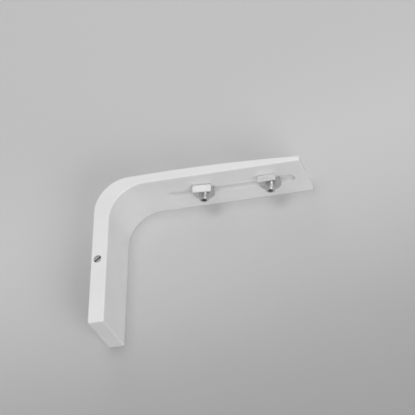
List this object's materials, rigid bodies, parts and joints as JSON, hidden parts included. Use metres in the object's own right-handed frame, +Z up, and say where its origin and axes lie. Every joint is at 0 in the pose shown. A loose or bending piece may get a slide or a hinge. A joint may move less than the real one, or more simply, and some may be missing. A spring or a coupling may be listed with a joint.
{
  "type": "curtain track wall bracket",
  "caption": "White L-shaped wall bracket with a slotted, tapering arm that carries sliding, turning clips for curtain tracks, fixed on a hidden wall plate.",
  "frame": {"origin": "on the wall plane, midway between the wall plate's two holes, at mid-width of the bar", "axes": "+X from the wall into the room along the arm, +Y across the bar's width, +Z up; the leg hangs down along -Z"},
  "size_m": [0.1056, 0.03, 0.0789],
  "materials": {
    "white_coat": "satin white powder coat on cast aluminium",
    "plate_zinc": "dull zinc plating",
    "clip_zinc": "bright zinc plating on bent sheet",
    "screw_zinc": "bright zinc plating",
    "screw_steel": "plain dark steel"
  },
  "bodies": {
    "bracket": {"bracket_body": "white_coat", "wall_plate": "plate_zinc", "grub_screw": "screw_steel"},
    "inner_carriage": {"inner_clip_screw": "screw_zinc", "inner_square_nut": "screw_zinc"},
    "inner_clip": {"inner_rail_clip": "clip_zinc"},
    "outer_carriage": {"outer_clip_screw": "screw_zinc", "outer_square_nut": "screw_zinc"},
    "outer_clip": {"outer_rail_clip": "clip_zinc"}
  },
  "joints": [
    {"name": "inner_slide", "type": "slide", "parent": "bracket", "child": "inner_carriage", "axis": [1, 0, 0], "range_m": [-0.0163, 0.0082]},
    {"name": "inner_swivel", "type": "hinge", "parent": "inner_carriage", "child": "inner_clip", "pos_m": [0.0529, 0, 0.0394], "axis": [0, 0, 1], "continuous": true},
    {"name": "outer_slide", "type": "slide", "parent": "bracket", "child": "outer_carriage", "axis": [1, 0, 0], "range_m": [-0.0082, 0.0098]},
    {"name": "outer_swivel", "type": "hinge", "parent": "outer_carriage", "child": "outer_clip", "pos_m": [0.0872, 0, 0.0394], "axis": [0, 0, 1], "continuous": true}
  ]
}
